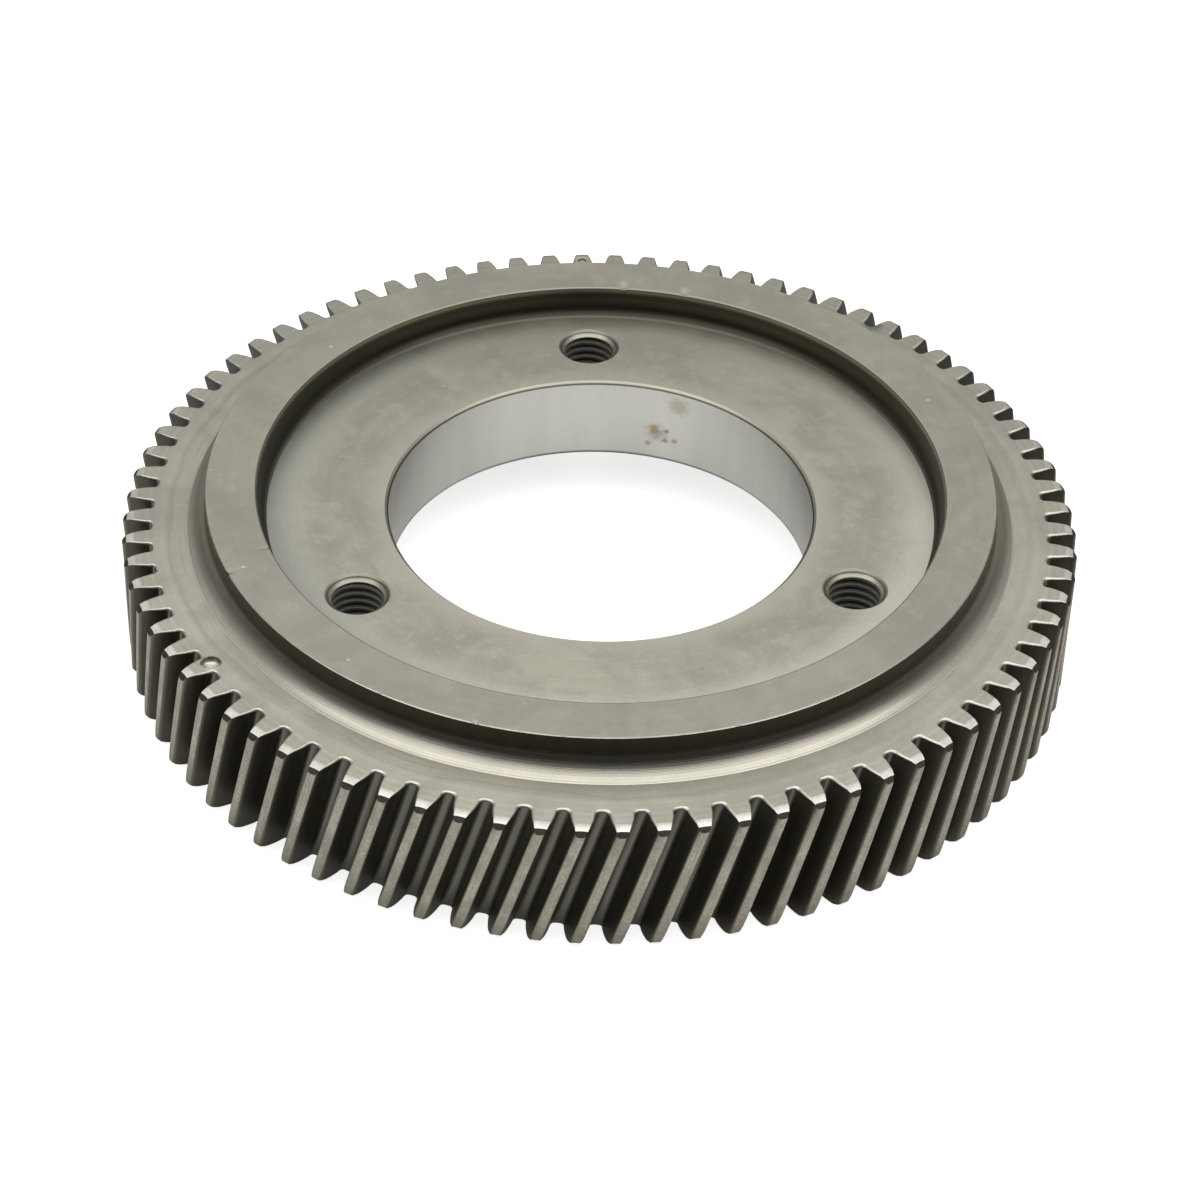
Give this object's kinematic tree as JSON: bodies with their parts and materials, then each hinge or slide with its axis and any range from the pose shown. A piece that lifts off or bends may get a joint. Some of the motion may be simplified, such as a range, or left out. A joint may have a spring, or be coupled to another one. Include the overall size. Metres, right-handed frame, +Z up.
{
  "type": "injection pump gear",
  "caption": "Helical timing gear with a raised locating ring, a wide central bore and threaded puller holes, turned and hobbed from one piece of steel.",
  "frame": {"origin": "on the gear's axis, at the lower face of the rim, which the gear rests on", "axes": "+Z up along the gear's axis, out of the side with the raised ring; +Y through the first threaded hole"},
  "size_m": [0.1606, 0.1606, 0.031],
  "materials": {
    "gear_steel": "turned and hobbed steel, used, lightly stained, with a few specks of rust"
  },
  "bodies": {
    "root": {"gear": "gear_steel"}
  },
  "joints": []
}
